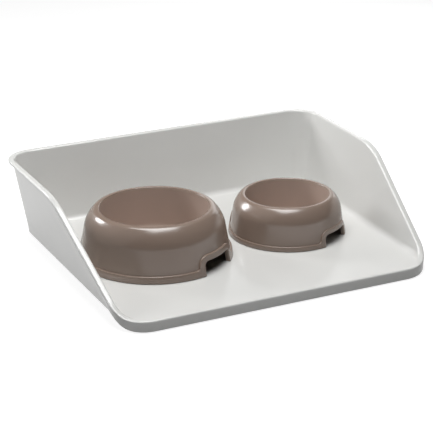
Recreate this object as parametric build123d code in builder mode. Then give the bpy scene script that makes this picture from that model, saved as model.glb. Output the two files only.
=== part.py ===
"""Double pet bowl: a high-backed feeding tray with two loose bowls of different size.

Millimetres, +Z up. The origin is on the ground, under the middle of the tray.
The open front of the tray faces -Y and its back wall stands on the +Y side.
"""

from build123d import *
import os
from math import cos, radians, sin, tan

# Values shared by all pieces
cut_overrun = 20.0
fit_clearance = 0.15

# Tray: width and depth are taken over the rim
tray_width = 448.0
tray_depth = 362.4
tray_sheet = 3.0
tray_wall_height = 97.4
tray_wall_draft = 10.0
tray_skirt_depth = 13.3
tray_skirt_gap = 1.0
tray_back_corner_radius = 38.0
tray_front_corner_radius = 41.0
tray_floor_fillet = 8.0

# Rim: a flange round the top edge of the walls, with a turned-down lip that deepens into the front skirt
rim_width = 8.0
rim_lip_depth = 4.2
rim_slope_lip_depth = 11.8
rim_lip_thickness = 2.4
rim_front_rise = 0.5
rim_slope_angle = 30.7
rim_front_run = 14.56
rim_kink_radius = 90.0
rim_run_out_radius = 40.0

# Rubber feet of the tray, plugged into bosses under the floor
tray_foot_side_inset = 74.0
tray_foot_end_inset = 66.2
tray_foot_diameter = 20.0
tray_foot_exposed = 2.4
tray_foot_seat_depth = 2.5
tray_foot_stem_diameter = 8.0
tray_foot_stem_length = 3.6
tray_foot_edge_radius = 0.8
tray_boss_wall = 3.0

# Values shared by both bowls
bowl_wall = 2.8
bowl_basin_draft = 9.0
bowl_rim_flat = 2.2
bowl_rim_radius = 1.6
bowl_shoulder_turn = 45.0
bowl_notch_turn = -57.5
bowl_notch_corner_radius = 6.0

# Rubber feet of the bowls, plugged into bosses inside the skirt
bowl_foot_diameter = 9.6
bowl_foot_exposed = 0.5
bowl_foot_seat_depth = 1.5
bowl_foot_stem_diameter = 4.4
bowl_foot_stem_length = 4.0
bowl_foot_edge_radius = 0.2
bowl_boss_wall = 1.8
bowl_boss_height = 9.0

# Shares of the floor's free width that lie beside the large and the small bowl; the rest is between them
large_side_share = 0.2558
small_side_share = 0.5447

# Large bowl, with its place along the tray's depth
large_bowl_y = 0.1
large_base_diameter = 193.6
large_height = 63.1
large_mouth_inset = 28.8
large_lean = 9.8
large_shoulder_height = 38.5
large_band_height = 8.6
large_band_proud = 2.6
large_notch_width = 52.0
large_notch_height = 17.4
large_notch_border = 7.3
large_basin_floor = 8.0
large_basin_radius = 20.0

# Small bowl, with its place along the tray's depth
small_bowl_y = -3.0
small_base_diameter = 150.4
small_height = 51.0
small_mouth_inset = 21.6
small_lean = 7.5
small_shoulder_height = 30.5
small_band_height = 6.1
small_band_proud = 1.8
small_notch_width = 47.0
small_notch_height = 15.0
small_notch_border = 6.0
small_basin_floor = 7.0
small_basin_radius = 17.0

# Heights that follow from the sizes above
skirt_bottom = tray_skirt_gap
floor_top = skirt_bottom + tray_skirt_depth
floor_under = floor_top - tray_sheet
rim_top = floor_top + tray_wall_height
bowl_base = floor_top + bowl_foot_exposed

# Plan sizes of the rim's outer edge at floor level, worked back from the top along the draft
draft_run = tray_wall_height * tan(radians(tray_wall_draft))
edge_half_width = tray_width / 2 - draft_run
edge_back = tray_depth / 2 - draft_run
edge_front = -tray_depth / 2 + rim_front_rise * tan(radians(tray_wall_draft))
edge_back_radius = tray_back_corner_radius - draft_run

# Where the level and sloping rims meet, worked back from the front along the slope
rim_slope_start = -tray_depth / 2 + rim_front_run + tray_wall_height / tan(radians(rim_slope_angle))

# Places of the bowls between the side walls
floor_half_width = edge_half_width - rim_width
free_width = 2 * floor_half_width - large_base_diameter - small_base_diameter
large_bowl_x = -floor_half_width + large_side_share * free_width + large_base_diameter / 2
small_bowl_x = floor_half_width - small_side_share * free_width - small_base_diameter / 2


def tray_outline(inset, level):
    """Plan outline of the tray at floor level, set in from the rim's outer edge, drawn at a given height."""
    half_width = edge_half_width - inset
    back = edge_back - inset
    front = edge_front + inset
    with BuildSketch(Plane.XY.offset(level)) as outline:
        with Locations((0, (back + front) / 2)):
            Rectangle(2 * half_width, back - front)
        fillet(outline.vertices().group_by(Axis.Y)[-1], edge_back_radius - inset)
        fillet(outline.vertices().group_by(Axis.Y)[0], tray_front_corner_radius - inset)
    return outline.sketch


def tray_tub(inset):
    """Solid inside a drafted wall surface, from the floor's top to above the rim."""
    with BuildPart() as tub:
        add(tray_outline(inset, floor_top))
        extrude(amount=tray_wall_height + cut_overrun, taper=-tray_wall_draft)
    return tub.part


def below_rim(level_drop, slope_drop, front_drop):
    """Solid under a copy of the rim's side view, lowered along its level, sloping and front stretches."""
    slope = tan(radians(rim_slope_angle))
    level = rim_top - level_drop
    front_level = floor_top - front_drop
    kink = rim_slope_start + (slope_drop - level_drop) / slope
    slope_foot = kink - (level - front_level) / slope
    back = tray_depth / 2 + cut_overrun
    front = -tray_depth / 2 - cut_overrun
    bottom = skirt_bottom - cut_overrun
    with BuildPart() as under:
        with BuildSketch(Plane.YZ) as side:
            with BuildLine():
                Polyline(
                    (back, bottom),
                    (back, level),
                    (kink, level),
                    (slope_foot, front_level),
                    (front, front_level),
                    (front, bottom),
                    close=True,
                )
            make_face()
            fillet(side.vertices().sort_by_distance((kink, level))[0], rim_kink_radius)
            fillet(side.vertices().sort_by_distance((slope_foot, front_level))[0], rim_run_out_radius)
        extrude(amount=tray_width / 2 + cut_overrun, both=True)
    return under.part


def corner_places(spacing_x, spacing_y):
    """Names and plan positions of the corners of a rectangle."""
    places = {}
    for row, sign_y in (("front", -1), ("back", 1)):
        for column, sign_x in (("left", -1), ("right", 1)):
            places[row + "_" + column] = (sign_x * spacing_x / 2, sign_y * spacing_y / 2)
    return places


tray_feet = corner_places(tray_width - 2 * tray_foot_side_inset, tray_depth - 2 * tray_foot_end_inset)
tray_foot_socket_radius = tray_foot_diameter / 2 + fit_clearance
sheet_inset = rim_width - tray_sheet
sheet_slope_drop = tray_sheet / cos(radians(rim_slope_angle))

# Space that the tray's outer wall surface encloses, from its open underside to above the rim
with BuildPart() as sheet_space:
    add(tray_tub(sheet_inset))
    add(tray_outline(sheet_inset, skirt_bottom - cut_overrun))
    extrude(amount=floor_top - skirt_bottom + cut_overrun)

# Space for food and bowls inside the walls, with its rounded lower edge
with BuildPart() as tray_space:
    add(tray_tub(rim_width))
    fillet(tray_space.edges().group_by(Axis.Z)[0], tray_floor_fillet)

# Groove under the flange, between the wall and the lip
with BuildPart() as flange_groove:
    add(tray_tub(rim_lip_thickness))
    add(below_rim(tray_sheet, sheet_slope_drop, tray_sheet), mode=Mode.INTERSECT)
    add(sheet_space.part, mode=Mode.SUBTRACT)

# Everything outside the wall and below the lip's lower edge
with BuildPart() as lip_trim:
    add(below_rim(rim_lip_depth, rim_slope_lip_depth, tray_skirt_depth))
    add(sheet_space.part, mode=Mode.SUBTRACT)

# Tray: one moulded sheet with floor, back and side walls, flange, lip, front skirt and four foot bosses
with BuildPart() as tray:
    add(tray_tub(0))
    add(tray_outline(0, skirt_bottom))
    extrude(amount=tray_skirt_depth)
    add(below_rim(0, 0, -rim_front_rise), mode=Mode.INTERSECT)
    add(tray_space.part, mode=Mode.SUBTRACT)
    add(flange_groove.part, mode=Mode.SUBTRACT)
    add(lip_trim.part, mode=Mode.SUBTRACT)
    add(tray_outline(tray_sheet, skirt_bottom - cut_overrun))
    extrude(amount=floor_under - skirt_bottom + cut_overrun, mode=Mode.SUBTRACT)
    with BuildSketch(Plane.XY.offset(tray_foot_exposed)):
        with Locations(*tray_feet.values()):
            Circle(tray_foot_socket_radius + tray_boss_wall)
    extrude(amount=floor_under - tray_foot_exposed)
    with BuildSketch(Plane.XY.offset(tray_foot_exposed)):
        with Locations(*tray_feet.values()):
            Circle(tray_foot_socket_radius)
    extrude(amount=tray_foot_seat_depth, mode=Mode.SUBTRACT)
    with BuildSketch(Plane.XY.offset(tray_foot_exposed + tray_foot_seat_depth)):
        with Locations(*tray_feet.values()):
            Circle(tray_foot_stem_diameter / 2 + fit_clearance)
    extrude(amount=tray_foot_stem_length + fit_clearance, mode=Mode.SUBTRACT)

os.makedirs("parts", exist_ok=True)
tray.part.label = "tray"
export_step(tray.part, "parts/tray.step")


def write_foot(name, place, bottom, diameter, height, stem_diameter, stem_length, edge_radius):
    """Rubber foot: a disc with a rounded lower edge and a plug on top."""
    with BuildPart() as foot:
        with BuildSketch(Plane.XY.offset(bottom)):
            with Locations(place):
                Circle(diameter / 2)
        extrude(amount=height)
        fillet(foot.edges().group_by(Axis.Z)[0], edge_radius)
        with BuildSketch(Plane.XY.offset(bottom + height)):
            with Locations(place):
                Circle(stem_diameter / 2)
        extrude(amount=stem_length)
    foot.part.label = name
    export_step(foot.part, "parts/" + name + ".step")


for corner, place in tray_feet.items():
    write_foot(
        "tray_foot_" + corner,
        place,
        0,
        tray_foot_diameter,
        tray_foot_exposed + tray_foot_seat_depth,
        tray_foot_stem_diameter,
        tray_foot_stem_length,
        tray_foot_edge_radius,
    )


def shoulder_radii(run, rise, lean):
    """Radii of the two tangent arcs that carry a leaning wall inwards and up to a level rim."""
    turn = radians(bowl_shoulder_turn)
    start = radians(lean)
    shoulder_run = cos(start) - cos(turn)
    shoulder_rise = sin(turn) - sin(start)
    crown_run = cos(turn)
    crown_rise = 1 - sin(turn)
    scale = shoulder_run * crown_rise - crown_run * shoulder_rise
    shoulder = (run * crown_rise - crown_run * rise) / scale
    crown = (shoulder_run * rise - run * shoulder_rise) / scale
    return shoulder, crown


def notch_door(plane, width, height, radius, length):
    """Bar with a door-shaped section, standing on the bowl's base and running out through the skirt."""
    with BuildPart() as bar:
        with BuildSketch(plane) as door:
            with Locations((0, (height - cut_overrun) / 2)):
                Rectangle(width, height + cut_overrun)
            fillet(door.vertices().group_by(Axis.Y)[-1], radius)
        extrude(amount=length)
    return bar.part


def foot_places(centre, ring_radius):
    """Names and plan positions of a bowl's feet, half-way between its two finger notches and their cross axis."""
    places = {}
    for step, side in enumerate(("right", "back", "left", "front")):
        angle = radians(bowl_notch_turn + 45 + 90 * step)
        places[side] = (centre[0] + ring_radius * cos(angle), centre[1] + ring_radius * sin(angle))
    return places


def build_bowl(
    name,
    centre,
    base_diameter,
    height,
    mouth_inset,
    lean,
    shoulder_height,
    band_height,
    band_proud,
    notch_width,
    notch_height,
    notch_border,
    basin_floor,
    basin_radius,
):
    """Writes one moulded bowl and its rubber feet."""
    slope = tan(radians(lean))
    basin_slope = tan(radians(bowl_basin_draft))
    base_radius = base_diameter / 2
    body_radius = base_radius - band_proud
    mouth_radius = base_radius - mouth_inset
    shoulder_start = (body_radius - shoulder_height * slope, shoulder_height)
    shoulder_run = shoulder_start[0] - mouth_radius - bowl_rim_flat
    shoulder, crown = shoulder_radii(shoulder_run, height - shoulder_height, lean)
    section = Plane((centre[0], centre[1], bowl_base), x_dir=(1, 0, 0), z_dir=(0, -1, 0))
    upright = Axis((centre[0], centre[1], bowl_base), (0, 0, 1))

    notch_planes = []
    for half_turn in (0, 180):
        angle = radians(bowl_notch_turn + half_turn)
        outward = (cos(angle), sin(angle), 0)
        sideways = (-sin(angle), cos(angle), 0)
        notch_planes.append(Plane(section.origin, x_dir=sideways, z_dir=outward))

    foot_socket_radius = bowl_foot_diameter / 2 + fit_clearance
    foot_ring = body_radius - bowl_wall - foot_socket_radius
    feet = foot_places(centre, foot_ring)

    # Area of the band: a strip round the base that arches over each finger notch
    arch_top = notch_height + notch_border
    with BuildPart() as band_area:
        with BuildSketch(Plane.XY.offset(bowl_base)):
            with Locations(centre):
                Circle(base_diameter)
        extrude(amount=band_height)
        for plane in notch_planes:
            add(
                notch_door(
                    plane,
                    notch_width + 2 * notch_border,
                    arch_top,
                    bowl_notch_corner_radius + notch_border,
                    base_diameter,
                )
            )

    # Band: a raised layer on the skirt
    layer_top = (arch_top + shoulder_height) / 2
    with BuildPart() as band:
        with BuildSketch(section):
            with BuildLine():
                Polyline(
                    (body_radius - bowl_wall, 0),
                    (base_radius, 0),
                    (base_radius - layer_top * slope, layer_top),
                    (body_radius - bowl_wall - layer_top * slope, layer_top),
                    close=True,
                )
            make_face()
        revolve(axis=upright)
        add(band_area.part, mode=Mode.INTERSECT)

    # Hollow under the bowl, between the skirt and the basin, with the foot bosses left standing in it
    lean_cos = cos(radians(lean))
    lean_sin = sin(radians(lean))
    hollow_start = (shoulder_start[0] - bowl_wall * lean_cos, shoulder_height - bowl_wall * lean_sin)
    hollow_foot = (hollow_start[0] + hollow_start[1] * slope, 0)
    basin_under = basin_floor - bowl_wall
    basin_outside = mouth_radius + bowl_wall / cos(radians(bowl_basin_draft))
    basin_under_corner = (basin_outside - (height - basin_under) * basin_slope, basin_under)
    with BuildPart() as hollow:
        with BuildSketch(section) as hollow_section:
            with BuildLine():
                skirt_line = Line(hollow_foot, hollow_start)
                shoulder_line = JernArc(
                    skirt_line @ 1, skirt_line % 1, shoulder - bowl_wall, bowl_shoulder_turn - lean
                )
                hollow_top = (shoulder_line @ 1).Y
                Polyline(
                    shoulder_line @ 1,
                    (basin_outside - (height - hollow_top) * basin_slope, hollow_top),
                    basin_under_corner,
                    (0, basin_under),
                    (0, 0),
                    hollow_foot,
                )
            make_face()
            corner = hollow_section.vertices().sort_by_distance(basin_under_corner)[0]
            fillet(corner, basin_radius + bowl_wall)
        revolve(axis=upright)
        with BuildSketch(Plane.XY.offset(bowl_base)):
            with Locations(*feet.values()):
                Circle(foot_socket_radius + bowl_boss_wall)
        extrude(amount=bowl_boss_height, mode=Mode.SUBTRACT)

    # Basin for food or water
    basin_corner = (mouth_radius - (height - basin_floor) * basin_slope, basin_floor)
    basin_top = height + cut_overrun
    with BuildPart() as basin:
        with BuildSketch(section) as basin_section:
            with BuildLine():
                Polyline(
                    (0, basin_floor),
                    basin_corner,
                    (mouth_radius + cut_overrun * basin_slope, basin_top),
                    (0, basin_top),
                    close=True,
                )
            make_face()
            corner = basin_section.vertices().sort_by_distance(basin_corner)[0]
            fillet(corner, basin_radius)
        revolve(axis=upright)

    # Bowl: one moulding, with its seats for the feet
    with BuildPart() as bowl:
        with BuildSketch(section):
            with BuildLine():
                side_line = Line((body_radius, 0), shoulder_start)
                bend = JernArc(side_line @ 1, side_line % 1, shoulder, bowl_shoulder_turn - lean)
                crest = JernArc(bend @ 1, bend % 1, crown, 90 - bowl_shoulder_turn)
                Polyline(crest @ 1, (0, height), (0, 0), (body_radius, 0))
            make_face()
        revolve(axis=upright)
        add(band.part)
        add(basin.part, mode=Mode.SUBTRACT)
        mouth_edge = bowl.edges().filter_by(GeomType.CIRCLE).group_by(Axis.Z)[-1].sort_by(SortBy.RADIUS)[0]
        fillet(mouth_edge, bowl_rim_radius)
        add(hollow.part, mode=Mode.SUBTRACT)
        for plane in notch_planes:
            opening = notch_door(
                plane.offset((mouth_radius + body_radius) / 2),
                notch_width,
                notch_height,
                bowl_notch_corner_radius,
                base_radius,
            )
            add(opening, mode=Mode.SUBTRACT)
        with BuildSketch(Plane.XY.offset(bowl_base)):
            with Locations(*feet.values()):
                Circle(foot_socket_radius)
        extrude(amount=bowl_foot_seat_depth, mode=Mode.SUBTRACT)
        with BuildSketch(Plane.XY.offset(bowl_base + bowl_foot_seat_depth)):
            with Locations(*feet.values()):
                Circle(bowl_foot_stem_diameter / 2 + fit_clearance)
        extrude(amount=bowl_foot_stem_length + fit_clearance, mode=Mode.SUBTRACT)
    bowl.part.label = name
    export_step(bowl.part, "parts/" + name + ".step")

    for side, place in feet.items():
        write_foot(
            name + "_foot_" + side,
            place,
            floor_top,
            bowl_foot_diameter,
            bowl_foot_exposed + bowl_foot_seat_depth,
            bowl_foot_stem_diameter,
            bowl_foot_stem_length,
            bowl_foot_edge_radius,
        )


build_bowl(
    name="large_bowl",
    centre=(large_bowl_x, large_bowl_y),
    base_diameter=large_base_diameter,
    height=large_height,
    mouth_inset=large_mouth_inset,
    lean=large_lean,
    shoulder_height=large_shoulder_height,
    band_height=large_band_height,
    band_proud=large_band_proud,
    notch_width=large_notch_width,
    notch_height=large_notch_height,
    notch_border=large_notch_border,
    basin_floor=large_basin_floor,
    basin_radius=large_basin_radius,
)
build_bowl(
    name="small_bowl",
    centre=(small_bowl_x, small_bowl_y),
    base_diameter=small_base_diameter,
    height=small_height,
    mouth_inset=small_mouth_inset,
    lean=small_lean,
    shoulder_height=small_shoulder_height,
    band_height=small_band_height,
    band_proud=small_band_proud,
    notch_width=small_notch_width,
    notch_height=small_notch_height,
    notch_border=small_notch_border,
    basin_floor=small_basin_floor,
    basin_radius=small_basin_radius,
)
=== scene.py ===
"""Double pet bowl: a glossy off-white feeding tray that holds a large and a small loose taupe bowl.

Metres, +Z up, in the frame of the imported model. The tray's open front faces -Y.
"""

from math import acos, asin, cos, pi, radians, sin, tan

import bmesh
import bpy
from bpy.props import FloatProperty, FloatVectorProperty, IntProperty, PointerProperty
from bpy.types import Operator, Panel, PropertyGroup
from mathutils import Matrix, Vector


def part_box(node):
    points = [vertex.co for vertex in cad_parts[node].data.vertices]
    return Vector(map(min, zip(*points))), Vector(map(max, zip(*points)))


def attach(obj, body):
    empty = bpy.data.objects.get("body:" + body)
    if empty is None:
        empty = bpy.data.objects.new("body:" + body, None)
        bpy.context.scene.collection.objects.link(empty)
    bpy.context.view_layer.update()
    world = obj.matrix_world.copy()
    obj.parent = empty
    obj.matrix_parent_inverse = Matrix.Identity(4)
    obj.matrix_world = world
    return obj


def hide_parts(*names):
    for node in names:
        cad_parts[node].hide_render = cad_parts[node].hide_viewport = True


bl_info = {
    "name": "Double Pet Bowl",
    "version": (1, 0, 0),
    "blender": (4, 5, 0),
    "location": "View3D > Sidebar > Pet Bowl",
    "description": "Models a feeding tray with two loose bowls around its packed frame",
    "category": "Add Mesh",
}

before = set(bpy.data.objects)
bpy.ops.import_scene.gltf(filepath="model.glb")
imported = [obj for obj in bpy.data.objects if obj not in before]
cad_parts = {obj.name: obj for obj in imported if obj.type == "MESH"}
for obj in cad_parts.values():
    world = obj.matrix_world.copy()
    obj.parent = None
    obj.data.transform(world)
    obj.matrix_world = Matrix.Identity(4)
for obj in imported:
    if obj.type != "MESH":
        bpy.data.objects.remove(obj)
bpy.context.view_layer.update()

MM = 0.001
WELD = 0.002 * MM
CREASE = radians(40)

# Steps round the arcs of the sections and outlines, the band's edges and the bosses
RIM_STEPS = 6
FLOOR_FILLET_STEPS = 8
LIP_STEPS = 3
NOTCH_FOOT_STEPS = 5
NOTCH_CORNER_STEPS = 8
SHOULDER_STEPS = 16
CROWN_STEPS = 12
BASIN_STEPS = 14
HOLLOW_STEPS = 8
BAND_SEGMENTS = 3
BOSS_SEGMENTS = 48

# Places of the points on the straight runs of the sections, as parts of the run
WALL_PLACES = (0.04, 0.5, 0.96)
UNDERSIDE_PLACES = (0.1, 0.5, 0.9)
BASIN_PLACES = (0.05, 0.5, 0.95)

# Rounds of substitution that find where a side line meets the leaning wall
SETTLE_ROUNDS = 6

# Numbers of the materials
PLASTIC_IOR = 1.5
SKIN_ROUGHNESS = 0.06
GROUND_ROUGHNESS = 0.9
CLOUD_SCALE = 18.0
CLOUD_DETAIL = 3.0
GRAIN_DETAIL = 2.0
GLOSS_SPREAD = 0.15

# Camera: sensor in millimetres, clipping in metres
SENSOR_WIDTH = 36.0
CLIP_START = 0.1
CLIP_END = 50.0

tray_low, tray_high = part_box("tray")
floor_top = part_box("large_bowl_foot_front")[0].z


def length(label, millimetres, words):
    """Length property, written in millimetres and kept in metres."""
    return FloatProperty(
        name=label, description=words, default=millimetres * MM, subtype="DISTANCE", unit="LENGTH"
    )


def angle(label, degrees, words):
    """Angle property, written in degrees and kept in radians."""
    return FloatProperty(
        name=label, description=words, default=radians(degrees), subtype="ANGLE", unit="ROTATION"
    )


def point(label, place, words):
    """Place property, in metres."""
    return FloatVectorProperty(
        name=label, description=words, default=place, size=3, subtype="XYZ", unit="LENGTH"
    )


def power(label, watts, words):
    """Power property, in watts."""
    return FloatProperty(name=label, description=words, default=watts, subtype="POWER", unit="POWER")


def share(label, value, words):
    """Property between nothing and all."""
    return FloatProperty(
        name=label, description=words, default=value, min=0.0, max=1.0, subtype="FACTOR"
    )


def colour(label, red, green, blue, words):
    """Colour property in linear light."""
    return FloatVectorProperty(
        name=label,
        description=words,
        default=(red, green, blue),
        size=3,
        min=0.0,
        max=1.0,
        subtype="COLOR",
    )


class TraySizes(PropertyGroup):
    """Sizes of the tray that its packed box doesn't give."""

    sheet: length("Sheet", 3.0, "Thickness of the moulded sheet")
    wall_draft: angle("Wall draft", 10.0, "Outward lean of the walls")
    floor_fillet: length("Floor fillet", 8.0, "Radius between the floor and the walls")
    back_radius: length("Back corner radius", 38.0, "Plan radius of the rim at the back corners")
    front_radius: length("Front corner radius", 41.0, "Plan radius of the front corners")
    rim_width: length("Rim width", 8.0, "Width of the flange round the top edge")
    rim_inner_round: length("Rim inner round", 2.4, "Radius of the rim's inner edge")
    rim_outer_round: length("Rim outer round", 2.0, "Radius of the rim's outer edge")
    lip_depth: length("Lip depth", 4.2, "Depth of the lip under the level rim")
    slope_lip_depth: length("Slope lip depth", 11.8, "Depth of the lip under the sloping rim")
    lip_thickness: length("Lip thickness", 2.4, "Thickness of the turned-down lip")
    lip_round: length("Lip round", 0.8, "Radius of the lip's lower edges")
    slope_angle: angle("Slope angle", 30.7, "Fall of the side rims towards the front")
    slope_start: length("Slope start", -2.6, "Where the level and sloping rims would meet, along Y")
    kink_radius: length("Kink radius", 90.0, "Radius between the level and the sloping rim")
    run_out_radius: length("Run-out radius", 40.0, "Radius between the sloping rim and the front")
    boss_radius: length("Boss radius", 13.15, "Radius of the bosses that hold the feet")
    boss_wall: length("Boss wall", 3.0, "Wall of the bosses that hold the feet")
    boss_root: length("Boss root", 0.2, "How far the bosses run into the floor")
    foot_exposed: length("Foot exposed", 2.4, "How far the feet stand out of their bosses")
    foot_seat: length("Foot seat", 2.5, "Depth of the seats in the bosses")
    floor_border: length("Floor border", 4.0, "Width of the faces round the flat of the floor")
    step: length("Step", 4.0, "Spacing of the points along the straight runs")
    corner_steps: IntProperty(name="Corner steps", description="Steps round each corner", default=24)


class LargeBowlSizes(PropertyGroup):
    """Sizes of the large bowl that its packed box doesn't give."""

    mouth_radius: length("Mouth radius", 68.0, "Radius of the basin at the rim")
    lean: angle("Lean", 9.8, "Inward lean of the skirt")
    shoulder_height: length("Shoulder height", 38.5, "Height where the skirt starts to turn in")
    band_height: length("Band height", 8.6, "Height of the raised band round the base")
    band_proud: length("Band proud", 2.6, "How far the band stands out from the skirt")
    notch_width: length("Notch width", 52.0, "Width of the finger notches")
    notch_height: length("Notch height", 17.4, "Height of the finger notches")
    notch_border: length("Notch border", 7.3, "Width of the band over the finger notches")
    basin_floor: length("Basin floor", 8.0, "Height of the basin's floor over the base")
    basin_radius: length("Basin radius", 11.0, "Radius between the basin's floor and side")


class SmallBowlSizes(PropertyGroup):
    """Sizes of the small bowl that its packed box doesn't give."""

    mouth_radius: length("Mouth radius", 53.6, "Radius of the basin at the rim")
    lean: angle("Lean", 7.5, "Inward lean of the skirt")
    shoulder_height: length("Shoulder height", 30.5, "Height where the skirt starts to turn in")
    band_height: length("Band height", 6.1, "Height of the raised band round the base")
    band_proud: length("Band proud", 1.8, "How far the band stands out from the skirt")
    notch_width: length("Notch width", 47.0, "Width of the finger notches")
    notch_height: length("Notch height", 15.0, "Height of the finger notches")
    notch_border: length("Notch border", 6.0, "Width of the band over the finger notches")
    basin_floor: length("Basin floor", 7.0, "Height of the basin's floor over the base")
    basin_radius: length("Basin radius", 9.5, "Radius between the basin's floor and side")


class BowlShape(PropertyGroup):
    """Sizes that both bowls share."""

    wall: length("Wall", 2.8, "Thickness of the moulded wall")
    basin_draft: angle("Basin draft", 9.0, "Outward lean of the basin's side")
    rim_flat: length("Rim flat", 2.2, "Width from the mouth to the top of the crown")
    rim_round: length("Rim round", 1.1, "Radius of the rim's inner edge")
    shoulder_turn: angle("Shoulder turn", 45.0, "Lean at which the shoulder meets the crown")
    notch_turn: angle("Notch turn", -57.5, "Direction of the near finger notch, from +X")
    notch_round: length("Notch round", 6.0, "Radius of the notch's upper corners")
    arch_foot: length("Arch foot", 4.0, "Radius where the band turns up round a notch")
    edge_round: length("Edge round", 0.5, "Radius of the band's edges")
    boss_radius: length("Boss radius", 6.75, "Radius of the bosses that hold the feet")
    boss_wall: length("Boss wall", 1.8, "Wall of the bosses that hold the feet")
    boss_height: length("Boss height", 8.0, "Height of the bosses that hold the feet")
    foot_seat: length("Foot seat", 1.5, "Depth of the seats in the bosses")
    floor_border: length("Floor border", 6.0, "Width of the faces round the flat of the basin")
    slices: IntProperty(name="Slices", description="Slices in half a turn of the skirt", default=96)
    spare_end: length("Spare end", 8.0, "Length trimmed from each end of the strip that becomes the skirt")


class Finishes(PropertyGroup):
    """Colours of the materials in linear light, and their gloss."""

    tray: colour("Tray", 0.7, 0.7, 0.682, "Off-white plastic of the tray")
    tray_roughness: share("Tray roughness", 0.22, "Roughness of the tray")
    tray_polish: share("Tray polish", 0.7, "Strength of the reflections on the tray")
    bowl: colour("Bowl", 0.25, 0.187, 0.151, "Polished taupe plastic outside the bowls")
    bowl_roughness: share("Bowl roughness", 0.24, "Roughness outside the bowls")
    bowl_polish: share("Bowl polish", 0.85, "Strength of the reflections outside the bowls")
    bowl_gloss: share("Bowl gloss", 0.1, "Weight of the mirror-like skin outside the bowls")
    # Painted light: the basin is the same taupe plastic as the outside, painted lighter to stand in for the
    # light that falls inside the bowls. Its satin gloss is the real finish.
    basin: colour("Basin", 0.385, 0.294, 0.248, "Satin taupe plastic inside the bowls")
    basin_roughness: share("Basin roughness", 0.45, "Roughness inside the bowls")
    basin_polish: share("Basin polish", 0.5, "Strength of the reflections inside the bowls")
    rubber: colour("Rubber", 0.035, 0.035, 0.037, "Dark rubber of the feet")
    rubber_roughness: share("Rubber roughness", 0.75, "Roughness of the feet")
    ground: colour("Ground", 0.3, 0.3, 0.3, "Pale floor")


class OverheadSoftbox(PropertyGroup):
    """Lamp over the front of the object."""

    place: point("Place", (-0.07, -0.16, 1.2), "Middle of the lamp")
    aim: point("Aim", (-0.07, -0.16, 0.0), "Point that the lamp faces")
    width: length("Width", 750.0, "Width of the lamp")
    depth: length("Depth", 950.0, "Depth of the lamp")
    watts: power("Power", 16.8, "Power of the lamp")


class LeftSoftbox(PropertyGroup):
    """Broad lamp to the left of the object."""

    place: point("Place", (-1.5, 0.1, 1.1), "Middle of the lamp")
    aim: point("Aim", (0.0, 0.0, 0.05), "Point that the lamp faces")
    width: length("Width", 2000.0, "Width of the lamp")
    depth: length("Depth", 1400.0, "Depth of the lamp")
    watts: power("Power", 2.0, "Power of the lamp")


class BackLeftSoftbox(PropertyGroup):
    """Lamp behind the object, to the left."""

    place: point("Place", (-0.78, 1.0, 0.6), "Middle of the lamp")
    aim: point("Aim", (-0.1, 0.0, 0.07), "Point that the lamp faces")
    width: length("Width", 350.0, "Width of the lamp")
    depth: length("Depth", 450.0, "Depth of the lamp")
    watts: power("Power", 9.0, "Power of the lamp")


class BackRightSoftbox(PropertyGroup):
    """Lamp behind the object, to the right."""

    place: point("Place", (0.9, 0.97, 0.42), "Middle of the lamp")
    aim: point("Aim", (0.0, 0.0, 0.07), "Point that the lamp faces")
    width: length("Width", 900.0, "Width of the lamp")
    depth: length("Depth", 400.0, "Depth of the lamp")
    watts: power("Power", 2.0, "Power of the lamp")


class StageSizes(PropertyGroup):
    """Camera, floor and room."""

    azimuth: angle("Azimuth", -25.49, "Camera direction, from straight in front")
    elevation: angle("Elevation", 21.25, "Camera height over the horizon")
    roll: angle("Roll", -0.37, "Turn of the camera about its own axis")
    distance: length("Distance", 2076.3, "Camera distance from the point it looks at")
    aim: point("Aim", (-0.0017, 0.0045, 0.0475), "Point that the camera looks at")
    lens: FloatProperty(
        name="Lens", description="Focal length for a 36 mm sensor", default=137.28, unit="CAMERA"
    )
    floor_reach: length("Floor reach", 6000.0, "Half the width of the floor")
    floor_drop: length("Floor drop", 0.5, "Depth of the floor under the feet")
    floor_glow: share("Floor glow", 0.85, "White that the floor adds where it is seen or mirrored")
    front_light: share("Front light", 0.04, "Brightness of the room on the camera's side")
    back_light: share("Back light", 0.6, "Brightness of the room behind the object")
    fade_start: FloatProperty(
        name="Fade start",
        description="Y of the directions in which the room starts to brighten",
        default=-0.1,
        min=-1.0,
        max=1.0,
        subtype="FACTOR",
    )
    fade_end: FloatProperty(
        name="Fade end",
        description="Y of the directions from which the room is brightest",
        default=0.9,
        min=-1.0,
        max=1.0,
        subtype="FACTOR",
    )


def arc(first, last, steps):
    """Angles from the first to the last, in even steps."""
    return [first + (last - first) * step / steps for step in range(steps + 1)]


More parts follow.
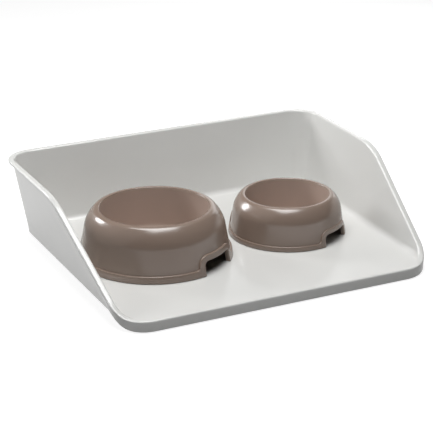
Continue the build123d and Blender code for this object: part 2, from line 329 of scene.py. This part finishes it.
def new_material(name, base_colour, roughness, grain_size, grain_depth, mottle):
    """Moulded finish whose gloss and surface vary a little, on object coordinates."""
    material = bpy.data.materials.new(name)
    material.use_nodes = True
    nodes = material.node_tree.nodes
    links = material.node_tree.links
    shader = nodes["Principled BSDF"]
    place = nodes.new("ShaderNodeTexCoord")

    cloud = nodes.new("ShaderNodeTexNoise")
    cloud.inputs["Scale"].default_value = CLOUD_SCALE
    cloud.inputs["Detail"].default_value = CLOUD_DETAIL
    links.new(place.outputs["Object"], cloud.inputs["Vector"])

    tint = nodes.new("ShaderNodeMix")
    tint.data_type = "RGBA"
    tint.inputs["A"].default_value = (*[c * (1 - mottle) for c in base_colour], 1.0)
    tint.inputs["B"].default_value = (*[min(c * (1 + mottle), 1.0) for c in base_colour], 1.0)
    links.new(cloud.outputs["Fac"], tint.inputs["Factor"])
    links.new(tint.outputs["Result"], shader.inputs["Base Color"])

    gloss = nodes.new("ShaderNodeMapRange")
    gloss.inputs["To Min"].default_value = roughness * (1 - GLOSS_SPREAD)
    gloss.inputs["To Max"].default_value = roughness * (1 + GLOSS_SPREAD)
    links.new(cloud.outputs["Fac"], gloss.inputs["Value"])
    links.new(gloss.outputs["Result"], shader.inputs["Roughness"])

    grain = nodes.new("ShaderNodeTexNoise")
    grain.inputs["Scale"].default_value = 1.0 / grain_size
    grain.inputs["Detail"].default_value = GRAIN_DETAIL
    links.new(place.outputs["Object"], grain.inputs["Vector"])
    bump = nodes.new("ShaderNodeBump")
    bump.inputs["Strength"].default_value = 1.0
    bump.inputs["Distance"].default_value = grain_depth
    links.new(grain.outputs["Fac"], bump.inputs["Height"])
    links.new(bump.outputs["Normal"], shader.inputs["Normal"])
    return material, shader


def gloss_plastic(name, base_colour, roughness, polish, skin=0.0):
    """Glossy moulded plastic with a faint ripple and, where given, a mirror-like skin."""
    material, shader = new_material(
        name, base_colour, roughness, grain_size=6 * MM, grain_depth=0.004 * MM, mottle=0.012
    )
    shader.inputs["IOR"].default_value = PLASTIC_IOR
    shader.inputs["Specular IOR Level"].default_value = polish
    shader.inputs["Coat Weight"].default_value = skin
    shader.inputs["Coat Roughness"].default_value = SKIN_ROUGHNESS
    return material


def satin_plastic(name, base_colour, roughness, polish):
    """Satin moulded plastic with a fine, shallow grain."""
    material, shader = new_material(
        name, base_colour, roughness, grain_size=0.8 * MM, grain_depth=0.006 * MM, mottle=0.02
    )
    shader.inputs["IOR"].default_value = PLASTIC_IOR
    shader.inputs["Specular IOR Level"].default_value = polish
    return material


def foot_rubber(name, base_colour, roughness):
    """Matt rubber with a fine grain."""
    material, _ = new_material(
        name, base_colour, roughness, grain_size=0.6 * MM, grain_depth=0.03 * MM, mottle=0.15
    )
    return material


def extrude_ring(bm, ring):
    """Extrudes a closed ring of vertices and gives the new ring in the same order."""
    edges = [bm.edges.get((a, b)) for a, b in zip(ring, ring[1:] + ring[:1])]
    made = set(bmesh.ops.extrude_edge_only(bm, edges=edges)["geom"])
    return [next(e.other_vert(v) for e in v.link_edges if e.other_vert(v) in made) for v in ring]


def fill_ring(bm, ring, border):
    """Closes a flat ring with one face that has a narrow border round it."""
    edges = [bm.edges.get((a, b)) for a, b in zip(ring, ring[1:] + ring[:1])]
    faces = bmesh.ops.edgeloop_fill(bm, edges=edges)["faces"]
    bm.normal_update()
    bmesh.ops.inset_region(bm, faces=faces, thickness=border, use_even_offset=True)


def add_boss(bm, place, low, high, radius, wall, seat):
    """Adds a round boss that opens downwards, with a seat for a foot."""
    made = bmesh.ops.create_cone(
        bm,
        cap_ends=True,
        segments=BOSS_SEGMENTS,
        radius1=radius,
        radius2=radius,
        depth=high - low,
        matrix=Matrix.Translation((place[0], place[1], (low + high) / 2)),
    )
    bm.normal_update()
    faces = {f for v in made["verts"] for f in v.link_faces}
    lower = min(faces, key=lambda f: f.calc_center_median().z)
    upper = max(faces, key=lambda f: f.calc_center_median().z)
    bmesh.ops.inset_individual(bm, faces=[lower], thickness=wall)
    deep = bmesh.ops.extrude_face_region(bm, geom=[lower])["geom"]
    bmesh.ops.translate(bm, vec=(0, 0, seat), verts=[v for v in deep if isinstance(v, bmesh.types.BMVert)])
    # The extrusion leaves the first face behind over the seat.
    # The upper cap is inside the tray's floor or out of sight in a bowl's hollow.
    bmesh.ops.delete(bm, geom=[lower, upper], context="FACES_ONLY")


def make_piece(name, bm, materials, body, node):
    """Turns a bmesh into a smooth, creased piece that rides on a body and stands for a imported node."""
    bm.normal_update()
    for face in bm.faces:
        face.smooth = True
    for edge in bm.edges:
        edge.smooth = edge.calc_face_angle(pi) < CREASE
    mesh = bpy.data.meshes.new(name)
    bm.to_mesh(mesh)
    bm.free()
    for material in materials:
        mesh.materials.append(material)
    piece = bpy.data.objects.new(name, mesh)
    bpy.context.scene.collection.objects.link(piece)
    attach(piece, body)
    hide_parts(node)


def rim_line(sizes, level_drop, slope_drop, front_level):
    """Side view of the rim, lowered along its level and sloping stretches: a function from y to height."""
    fall = tan(sizes.slope_angle)
    half_turn = tan(sizes.slope_angle / 2)
    level = tray_high.z - level_drop
    kink = sizes.slope_start + (slope_drop - level_drop) / fall
    foot = kink - (level - front_level) / fall
    kink_run = sizes.kink_radius * half_turn
    foot_run = sizes.run_out_radius * half_turn
    cosine = cos(sizes.slope_angle)

    def height(y):
        """Height of the line over the ground at y."""
        if y >= kink + kink_run:
            return level
        if y > kink - kink_run * cosine:
            across = y - kink - kink_run
            return level - sizes.kink_radius + (sizes.kink_radius**2 - across**2) ** 0.5
        if y >= foot + foot_run * cosine:
            return front_level + (y - foot) * fall
        if y > foot - foot_run:
            across = y - foot + foot_run
            return front_level + sizes.run_out_radius - (sizes.run_out_radius**2 - across**2) ** 0.5
        return front_level

    return height


def tray_plan(sizes):
    """Points round the rim's outer edge at floor level, each with its outward direction."""
    run = (tray_high.z - floor_top) * tan(sizes.wall_draft)
    half = tray_high.x - run
    back = tray_high.y - run
    front = tray_low.y
    back_radius = sizes.back_radius - run
    corners = (
        (half - sizes.front_radius, front + sizes.front_radius, sizes.front_radius, -pi / 2),
        (half - back_radius, back - back_radius, back_radius, 0),
        (back_radius - half, back - back_radius, back_radius, pi / 2),
        (sizes.front_radius - half, front + sizes.front_radius, sizes.front_radius, pi),
    )
    plan = []
    for x, y, radius, start in corners:
        for turn in arc(start, start + pi / 2, sizes.corner_steps):
            outward = Vector((cos(turn), sin(turn), 0))
            plan.append((Vector((x, y, 0)) + outward * radius, outward))
    whole = []
    for (spot, outward), (following, _) in zip(plan, plan[1:] + plan[:1]):
        gap = (following - spot).length
        pieces = max(1, round(gap / sizes.step)) if gap > 2 * sizes.step else 1
        for step in range(pieces):
            whole.append((spot.lerp(following, step / pieces), outward))
    return whole


def tray_section(sizes, spot, outward, top_line, lip_line, under_line):
    """Section of the tray at one place, from the floor over the rim and back under it."""
    draft = sizes.wall_draft
    lean = tan(draft)
    floor_under = floor_top - sizes.sheet
    wall_inset = sizes.rim_width - sizes.sheet

    def leant(z):
        """How far the wall has leant outwards at height z."""
        return max(z - floor_top, 0) * lean

    def settle(line):
        """Height at which a side line meets the leaning wall."""
        z = floor_top
        for _ in range(SETTLE_ROUNDS):
            z = line(spot.y + outward.y * leant(z))
        return z

    top = settle(top_line)
    lip = settle(lip_line)
    under = settle(under_line)
    height = top - floor_top

    fillet = sizes.floor_fillet
    inner = sizes.rim_inner_round
    full_turn = pi / 2 - draft
    turn = min(full_turn, acos(max(-1, 1 - height / (fillet + inner))))
    straight = max(height - (fillet + inner) * (1 - cos(full_turn)), 0) / sin(full_turn)
    edge = leant(top) - sizes.rim_width + inner * tan(full_turn / 2)
    inside = [(edge - inner * sin(a), top - inner * (1 - cos(a))) for a in arc(0, turn, RIM_STEPS)]
    x, z = inside[-1]
    for part in WALL_PLACES:
        inside.append((x - part * straight * cos(turn), z - part * straight * sin(turn)))
    x, z = x - straight * cos(turn), z - straight * sin(turn)
    for a in arc(turn, 0, FLOOR_FILLET_STEPS):
        inside.append((x - fillet * (sin(turn) - sin(a)), z - fillet * (cos(a) - cos(turn))))
    section = inside[::-1]

    outer = sizes.rim_outer_round
    outer_turn = pi / 2 + draft * min(1, height / fillet)
    flat_end = leant(top) - outer * tan(outer_turn / 2)
    section.append(((edge + flat_end) / 2, top))
    for a in arc(0, outer_turn, RIM_STEPS):
        section.append((flat_end + outer * sin(a), top - outer * (1 - cos(a))))

    low = sizes.lip_round
    face = leant(lip)
    section.append((leant(lip + 2 * low), lip + 2 * low))
    quarter = arc(0, pi / 2, LIP_STEPS)
    section += [(face - low * (1 - cos(a)), lip + low * (1 - sin(a))) for a in quarter]
    back_face = face - sizes.lip_thickness
    section += [(back_face + low * (1 - sin(a)), lip + low * (1 - cos(a))) for a in quarter]
    section.append((leant(under) - sizes.lip_thickness, under))
    section.append((leant(under) - wall_inset, under))
    edge_round = min(low, (under - floor_under) / 2)
    for part in UNDERSIDE_PLACES:
        z = under + (floor_under + edge_round - under) * part
        section.append((leant(z) - wall_inset, z))
    for a in quarter:
        section.append((-wall_inset - edge_round * (1 - cos(a)), floor_under + edge_round * (1 - sin(a))))
    return section


def build_tray(sizes, material):
    """Tray: a moulded sheet with floor, walls, rim, lip, front skirt and foot bosses."""
    floor_under = floor_top - sizes.sheet
    slope_sheet = sizes.sheet / cos(sizes.slope_angle)
    top_line = rim_line(sizes, 0, 0, floor_top)
    lip_line = rim_line(sizes, sizes.lip_depth, sizes.slope_lip_depth, tray_low.z)
    under_line = rim_line(sizes, sizes.sheet, slope_sheet, floor_under)
    plan = tray_plan(sizes)
    sections = [
        tray_section(sizes, spot, outward, top_line, lip_line, under_line) for spot, outward in plan
    ]

    bm = bmesh.new()
    ring = bmesh.ops.create_circle(bm, segments=len(plan), radius=1.0)["verts"]
    rings = [ring]
    for _ in sections[0][1:]:
        ring = extrude_ring(bm, ring)
        rings.append(ring)
    for station, ring in enumerate(rings):
        for vertex, (spot, outward), section in zip(ring, plan, sections):
            across, z = section[station]
            vertex.co = spot + outward * across + Vector((0, 0, z))
    fill_ring(bm, rings[0], sizes.floor_border)
    fill_ring(bm, rings[-1], sizes.floor_border)
    bmesh.ops.remove_doubles(bm, verts=bm.verts, dist=WELD)
    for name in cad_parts:
        if name.startswith("tray_foot"):
            low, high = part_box(name)
            add_boss(
                bm,
                (low + high) / 2,
                low.z + sizes.foot_exposed,
                floor_under + sizes.boss_root,
                sizes.boss_radius,
                sizes.boss_wall,
                sizes.foot_seat,
            )
    bmesh.ops.recalc_face_normals(bm, faces=bm.faces)
    make_piece("tray_shell", bm, [material], "tray", "tray")


def notch_outline(width, height, corner, foot, base):
    """Path over a door shape from left to right: rounded feet if any, straight sides and round corners."""
    half = width / 2
    side = []
    if foot:
        for a in arc(0, pi / 2, NOTCH_FOOT_STEPS):
            side.append((half + foot - foot * sin(a), base + foot - foot * cos(a)))
    else:
        side.append((half, base))
    for a in arc(0, pi / 2, NOTCH_CORNER_STEPS):
        side.append((half - corner + corner * cos(a), height - corner + corner * sin(a)))
    return [(-x, z) for x, z in side] + [(x, z) for x, z in reversed(side)]


def slice_across(bm, x, clear_inner=False, clear_outer=False):
    """Cuts a flat strip across at x and drops what lies on the cleared side."""
    bmesh.ops.bisect_plane(
        bm,
        geom=bm.verts[:] + bm.edges[:] + bm.faces[:],
        dist=WELD,
        plane_co=(x, 0, 0),
        plane_no=(1, 0, 0),
        clear_inner=clear_inner,
        clear_outer=clear_outer,
    )


def roll_skirt(shape, sizes, centre, base, base_radius):
    """Skirt of a bowl: one half is cut from a flat strip, rolled into a cone and copied."""
    body_radius = base_radius - sizes.band_proud
    slope = tan(sizes.lean)
    wall = shape.wall / cos(sizes.lean)
    top = sizes.shoulder_height
    half = body_radius * pi / 2
    spare = half + shape.spare_end

    def flat(x, z, depth=0.0):
        """Place on the flat strip of a point that lies x to the side and z up on the finished skirt."""
        return Vector((body_radius * asin(x / (body_radius - z * slope)), depth, z))

    door = [flat(*p) for p in notch_outline(sizes.notch_width, sizes.notch_height, shape.notch_round, 0, 0)]
    arch = [
        flat(*p)
        for p in notch_outline(
            sizes.notch_width + 2 * sizes.notch_border,
            sizes.notch_height + sizes.notch_border,
            shape.notch_round + sizes.notch_border,
            shape.arch_foot,
            sizes.band_height,
        )
    ]
    band = sizes.band_height
    ends = [(spare, 0), (spare, band), (spare, top), (-spare, top), (-spare, band), (-spare, 0)]
    outline = door + [Vector((x, 0, z)) for x, z in ends]
    strip = bmesh.new()
    inner_face = strip.faces.new([strip.verts.new(p - Vector((0, wall, 0))) for p in outline])
    made = bmesh.ops.extrude_face_region(strip, geom=[inner_face])["geom"]
    front = next(f for f in made if isinstance(f, bmesh.types.BMFace))
    bmesh.ops.translate(strip, vec=(0, wall, 0), verts=front.verts)

    left = min(front.verts, key=lambda v: (v.co - Vector((-spare, 0, band))).length)
    right = min(front.verts, key=lambda v: (v.co - Vector((spare, 0, band))).length)
    bmesh.utils.face_split(front, left, right, coords=arch)
    banded = min((f for f in left.link_faces if right in f.verts), key=lambda f: f.calc_center_median().z)
    made = bmesh.ops.extrude_face_region(strip, geom=[banded])["geom"]
    raised = next(f for f in made if isinstance(f, bmesh.types.BMFace))
    bmesh.ops.translate(strip, vec=(0, sizes.band_proud, 0), verts=raised.verts)
    # The extrusion leaves the first face behind, covered by the raised one
    bmesh.ops.delete(strip, geom=[banded], context="FACES_ONLY")

    def at_top(face):
        """Whether a face closes the strip's upper edge, where the shoulder goes on."""
        return all(abs(v.co.z - top) < WELD for v in face.verts)

    bmesh.ops.delete(strip, geom=[f for f in strip.faces if at_top(f)], context="FACES")
    strip.normal_update()
    bmesh.ops.bevel(
        strip,
        geom=raised.edges[:],
        offset=shape.edge_round,
        offset_type="OFFSET",
        affect="EDGES",
        segments=BAND_SEGMENTS,
        profile=0.5,
        material=-1,
    )
    bm = strip.copy()
    strip.free()
    bm.normal_update()
    for cut in range(1, shape.slices):
        slice_across(bm, half * (2 * cut / shape.slices - 1))
    slice_across(bm, -half, clear_inner=True)
    slice_across(bm, half, clear_outer=True)
    for vertex in bm.verts:
        x, depth, z = vertex.co
        turn = shape.notch_turn + x / body_radius
        radius = body_radius - z * slope + depth
        vertex.co = centre + Vector((radius * cos(turn), radius * sin(turn), base + z))
    copied = bmesh.ops.duplicate(bm, geom=bm.verts[:] + bm.edges[:] + bm.faces[:])["geom"]
    bmesh.ops.rotate(
        bm,
        cent=centre,
        matrix=Matrix.Rotation(pi, 3, "Z"),
        verts=[v for v in copied if isinstance(v, bmesh.types.BMVert)],
    )
    bmesh.ops.remove_doubles(bm, verts=bm.verts, dist=WELD)
    return bm


def top_rings(bm, centre):
    """Outer and inner open rings at the top of a skirt, each in order round the axis."""
    open_verts = {v for e in bm.edges if e.is_boundary for v in e.verts}
    spread = [(v.co.xy - centre.xy).length for v in open_verts]
    middle = (min(spread) + max(spread)) / 2

    def turn(vertex):
        """Direction of a vertex as seen from the axis."""
        return (vertex.co.xy - centre.xy).angle_signed(Vector((1, 0)))

    outer = sorted((v for v in open_verts if (v.co.xy - centre.xy).length > middle), key=turn)
    inner = sorted((v for v in open_verts if (v.co.xy - centre.xy).length <= middle), key=turn)
    return outer, inner


def lathe_on(bm, ring, centre, base, profile):
    """Carries a ring on through the radii and heights of a profile and gives the last ring."""
    for radius, z in profile:
        ring = extrude_ring(bm, ring)
        for vertex in ring:
            outward = (vertex.co.xy - centre.xy).normalized()
            vertex.co = centre + Vector((radius * outward.x, radius * outward.y, base + z))
    return ring


def shoulder_radii(run, rise, lean, turn):
    """Radii of the two tangent arcs that carry a leaning skirt inwards and up to a level rim."""
    shoulder_run = cos(lean) - cos(turn)
    shoulder_rise = sin(turn) - sin(lean)
    crown_run = cos(turn)
    crown_rise = 1 - sin(turn)
    scale = shoulder_run * crown_rise - crown_run * shoulder_rise
    shoulder = (run * crown_rise - crown_run * rise) / scale
    crown = (shoulder_run * rise - run * shoulder_rise) / scale
    return shoulder, crown


def fillet_between(corner, before, after, radius, steps):
    """Points of the arc that rounds the corner of a profile."""
    corner, before, after = Vector(corner), Vector(before), Vector(after)
    to_before = (before - corner).normalized()
    to_after = (after - corner).normalized()
    half_angle = to_before.angle(to_after) / 2
    middle = (to_before + to_after).normalized()
    hub = corner + middle * (radius / sin(half_angle))
    start = corner + to_before * (radius / tan(half_angle)) - hub
    finish = corner + to_after * (radius / tan(half_angle)) - hub
    turn = finish.angle_signed(start)
    return [tuple(hub + Matrix.Rotation(turn * s / steps, 2) @ start) for s in range(steps + 1)]


def build_bowl(name, shape, sizes, polished, lightened_satin):
    """Bowl: one moulding with skirt, band, finger notches, shoulder, rim, basin and foot bosses."""
    low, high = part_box(name)
    centre = Vector(((low.x + high.x) / 2, (low.y + high.y) / 2, 0))
    base = low.z
    height = high.z - low.z
    base_radius = (high.x - low.x) / 2
    body_radius = base_radius - sizes.band_proud
    lean = sizes.lean
    turn = shape.shoulder_turn
    start_radius = body_radius - sizes.shoulder_height * tan(lean)
    rim_outer = sizes.mouth_radius + shape.rim_flat
    shoulder, crown = shoulder_radii(start_radius - rim_outer, height - sizes.shoulder_height, lean, turn)
    basin_slope = tan(shape.basin_draft)

    hub = (start_radius - shoulder * cos(lean), sizes.shoulder_height - shoulder * sin(lean))
    outside = []
    for a in arc(lean, turn, SHOULDER_STEPS)[1:]:
        outside.append((hub[0] + shoulder * cos(a), hub[1] + shoulder * sin(a)))
    crown_hub = (rim_outer, height - crown)
    for a in arc(turn, pi / 2, CROWN_STEPS)[1:]:
        outside.append((crown_hub[0] + crown * cos(a), crown_hub[1] + crown * sin(a)))
    mouth = (sizes.mouth_radius, height)
    corner = (sizes.mouth_radius - (height - sizes.basin_floor) * basin_slope, sizes.basin_floor)
    outside += fillet_between(mouth, (rim_outer, height), corner, shape.rim_round, RIM_STEPS)
    basin = fillet_between(corner, mouth, (0, sizes.basin_floor), sizes.basin_radius, BASIN_STEPS)
    side_top, side_foot = Vector(outside[-1]), Vector(basin[0])
    basin = [tuple(side_top.lerp(side_foot, part)) for part in BASIN_PLACES] + basin

    wall = shape.wall
    thin = shoulder - wall
    inside = [(hub[0] + thin * cos(a), hub[1] + thin * sin(a)) for a in arc(lean, turn, HOLLOW_STEPS)[2:]]
    hollow_top = inside[-1][1]
    grown = sizes.mouth_radius + wall / cos(shape.basin_draft)
    under = sizes.basin_floor - wall
    under_corner = (grown - (height - under) * basin_slope, under)
    inside.append((grown - (height - hollow_top) * basin_slope, hollow_top))
    hollow_radius = sizes.basin_radius + wall
    inside += fillet_between(under_corner, inside[-1], (0, under), hollow_radius, HOLLOW_STEPS)

    bm = roll_skirt(shape, sizes, centre, base, base_radius)
    outer_ring, inner_ring = top_rings(bm, centre)
    fill_ring(bm, lathe_on(bm, inner_ring, centre, base, inside), shape.floor_border)
    rim_ring = lathe_on(bm, outer_ring, centre, base, outside)
    polished_faces = set(bm.faces)
    fill_ring(bm, lathe_on(bm, rim_ring, centre, base, basin), shape.floor_border)
    # The basin's faces take the second material: the bowls' taupe painted lighter, as painted light inside
    # the bowls.
    for face in set(bm.faces) - polished_faces:
        face.material_index = 1
    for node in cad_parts:
        if node.startswith(name + "_foot"):
            foot_low, foot_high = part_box(node)
            add_boss(
                bm,
                (foot_low + foot_high) / 2,
                base,
                base + shape.boss_height,
                shape.boss_radius,
                shape.boss_wall,
                shape.foot_seat,
            )
    bmesh.ops.recalc_face_normals(bm, faces=bm.faces)
    make_piece(name + "_moulding", bm, [polished, lightened_satin], name, name)


class PETBOWL_OT_tray(Operator):
    """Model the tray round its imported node"""

    bl_idname = "petbowl.tray"
    bl_label = "Tray"

    def execute(self, context):
        scene = context.scene
        finish = scene.petbowl_finishes
        material = gloss_plastic("tray_gloss", finish.tray, finish.tray_roughness, finish.tray_polish)
        build_tray(scene.petbowl_tray, material)
        return {"FINISHED"}


class PETBOWL_OT_bowls(Operator):
    """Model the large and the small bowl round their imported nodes"""

    bl_idname = "petbowl.bowls"
    bl_label = "Bowls"

    def execute(self, context):
        scene = context.scene
        finish = scene.petbowl_finishes
        polished = gloss_plastic(
            "bowl_gloss", finish.bowl, finish.bowl_roughness, finish.bowl_polish, finish.bowl_gloss
        )
        # Painted light: the basin material is the bowls' taupe painted lighter to stand in for the light
        # inside them, with a real satin finish.
        lightened_satin = satin_plastic("basin_satin_painted_light", finish.basin, finish.basin_roughness, finish.basin_polish)
        build_bowl("large_bowl", scene.petbowl_bowl_shape, scene.petbowl_large_bowl, polished, lightened_satin)
        build_bowl("small_bowl", scene.petbowl_bowl_shape, scene.petbowl_small_bowl, polished, lightened_satin)
        return {"FINISHED"}


class PETBOWL_OT_feet(Operator):
    """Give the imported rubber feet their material"""

    bl_idname = "petbowl.feet"
    bl_label = "Feet"

    def execute(self, context):
        finish = context.scene.petbowl_finishes
        material = foot_rubber("foot_rubber", finish.rubber, finish.rubber_roughness)
        for name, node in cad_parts.items():
            if "_foot_" in name:
                node.data.materials.clear()
                node.data.materials.append(material)
        return {"FINISHED"}


def add_softbox(name, softbox):
    """Adds a soft rectangular lamp that points at a place."""
    lamp = bpy.data.lights.new(name, "AREA")
    lamp.shape = "RECTANGLE"
    lamp.size = softbox.width
    lamp.size_y = softbox.depth
    lamp.energy = softbox.watts
    holder = bpy.data.objects.new(name, lamp)
    bpy.context.scene.collection.objects.link(holder)
    place = Vector(softbox.place)
    holder.location = place
    holder.rotation_euler = (Vector(softbox.aim) - place).to_track_quat("-Z", "Y").to_euler()


def ground_material(base_colour, glow_share):
    """Pale floor that shows white to the camera and in reflections, and keeps the object's shadow."""
    material = bpy.data.materials.new("pale_floor")
    material.use_nodes = True
    nodes = material.node_tree.nodes
    links = material.node_tree.links
    shader = nodes["Principled BSDF"]
    shader.inputs["Base Color"].default_value = (*base_colour, 1.0)
    shader.inputs["Roughness"].default_value = GROUND_ROUGHNESS
    shader.inputs["Specular IOR Level"].default_value = 0.0
    path = nodes.new("ShaderNodeLightPath")
    seen = nodes.new("ShaderNodeMath")
    seen.operation = "MAXIMUM"
    links.new(path.outputs["Is Camera Ray"], seen.inputs[0])
    links.new(path.outputs["Is Glossy Ray"], seen.inputs[1])
    either = nodes.new("ShaderNodeMath")
    either.operation = "MAXIMUM"
    links.new(seen.outputs["Value"], either.inputs[0])
    links.new(path.outputs["Is Transmission Ray"], either.inputs[1])
    white = nodes.new("ShaderNodeMath")
    white.operation = "MULTIPLY"
    white.inputs[1].default_value = glow_share
    links.new(either.outputs["Value"], white.inputs[0])
    glow = nodes.new("ShaderNodeEmission")
    glow.inputs["Color"].default_value = (1.0, 1.0, 1.0, 1.0)
    links.new(white.outputs["Value"], glow.inputs["Strength"])
    added = nodes.new("ShaderNodeAddShader")
    links.new(shader.outputs["BSDF"], added.inputs[0])
    links.new(glow.outputs["Emission"], added.inputs[1])
    links.new(added.outputs["Shader"], nodes["Material Output"].inputs["Surface"])
    return material


def studio_world(stage):
    """Room that is bright behind the object and dark on the camera's side."""
    world = bpy.data.worlds.new("studio")
    world.use_nodes = True
    nodes = world.node_tree.nodes
    links = world.node_tree.links
    place = nodes.new("ShaderNodeTexCoord")
    parts = nodes.new("ShaderNodeSeparateXYZ")
    links.new(place.outputs["Generated"], parts.inputs["Vector"])
    fade = nodes.new("ShaderNodeMapRange")
    fade.inputs["From Min"].default_value = stage.fade_start
    fade.inputs["From Max"].default_value = stage.fade_end
    fade.inputs["To Min"].default_value = stage.front_light
    fade.inputs["To Max"].default_value = stage.back_light
    links.new(parts.outputs["Y"], fade.inputs["Value"])
    links.new(fade.outputs["Result"], nodes["Background"].inputs["Strength"])
    return world


class PETBOWL_OT_stage(Operator):
    """Add the floor, the studio light and the camera"""

    bl_idname = "petbowl.stage"
    bl_label = "Stage"

    def execute(self, context):
        scene = context.scene
        stage = scene.petbowl_stage
        bm = bmesh.new()
        bmesh.ops.create_grid(bm, x_segments=1, y_segments=1, size=stage.floor_reach)
        mesh = bpy.data.meshes.new("studio_floor")
        bm.to_mesh(mesh)
        bm.free()
        mesh.materials.append(ground_material(scene.petbowl_finishes.ground, stage.floor_glow))
        ground = bpy.data.objects.new("studio_floor", mesh)
        scene.collection.objects.link(ground)
        ground.location.z = -stage.floor_drop

        scene.world = studio_world(stage)
        add_softbox("overhead_softbox", scene.petbowl_overhead)
        add_softbox("left_softbox", scene.petbowl_left)
        add_softbox("back_left_softbox", scene.petbowl_back_left)
        add_softbox("back_right_softbox", scene.petbowl_back_right)

        camera = bpy.data.cameras.new("camera")
        camera.sensor_width = SENSOR_WIDTH
        camera.lens = stage.lens
        holder = bpy.data.objects.new("camera", camera)
        scene.collection.objects.link(holder)
        across, up = stage.azimuth, stage.elevation
        back = Vector((sin(across) * cos(up), -cos(across) * cos(up), sin(up)))
        right = Vector((0, 0, 1)).cross(back).normalized()
        over = back.cross(right)
        turned_right = cos(stage.roll) * right + sin(stage.roll) * over
        turned_over = cos(stage.roll) * over - sin(stage.roll) * right
        turned = Matrix((turned_right, turned_over, back)).transposed().to_4x4()
        holder.matrix_world = Matrix.Translation(Vector(stage.aim) + back * stage.distance) @ turned
        camera.clip_start = CLIP_START
        camera.clip_end = CLIP_END
        scene.camera = holder
        scene.view_settings.view_transform = "Standard"
        return {"FINISHED"}


class PETBOWL_PT_panel(Panel):
    """Lists the pieces of the double pet bowl"""

    bl_idname = "PETBOWL_PT_panel"
    bl_label = "Double Pet Bowl"
    bl_space_type = "VIEW_3D"
    bl_region_type = "UI"
    bl_category = "Pet Bowl"

    def draw(self, context):
        for operator in OPERATORS:
            self.layout.operator(operator.bl_idname)


OPERATORS = (PETBOWL_OT_tray, PETBOWL_OT_bowls, PETBOWL_OT_feet, PETBOWL_OT_stage)
GROUPS = {
    "petbowl_tray": TraySizes,
    "petbowl_bowl_shape": BowlShape,
    "petbowl_large_bowl": LargeBowlSizes,
    "petbowl_small_bowl": SmallBowlSizes,
    "petbowl_finishes": Finishes,
    "petbowl_overhead": OverheadSoftbox,
    "petbowl_left": LeftSoftbox,
    "petbowl_back_left": BackLeftSoftbox,
    "petbowl_back_right": BackRightSoftbox,
    "petbowl_stage": StageSizes,
}
CLASSES = (*GROUPS.values(), *OPERATORS, PETBOWL_PT_panel)


def register():
    """Registers the classes and puts their sizes on the scene."""
    for item in CLASSES:
        bpy.utils.register_class(item)
    for name, group in GROUPS.items():
        setattr(bpy.types.Scene, name, PointerProperty(type=group))


def unregister():
    """Takes away what register() made."""
    for name in GROUPS:
        delattr(bpy.types.Scene, name)
    for item in reversed(CLASSES):
        bpy.utils.unregister_class(item)


def main():
    """Models the pieces in order."""
    register()
    bpy.ops.petbowl.tray()
    bpy.ops.petbowl.bowls()
    bpy.ops.petbowl.feet()
    bpy.ops.petbowl.stage()


if __name__ == "__main__":
    main()
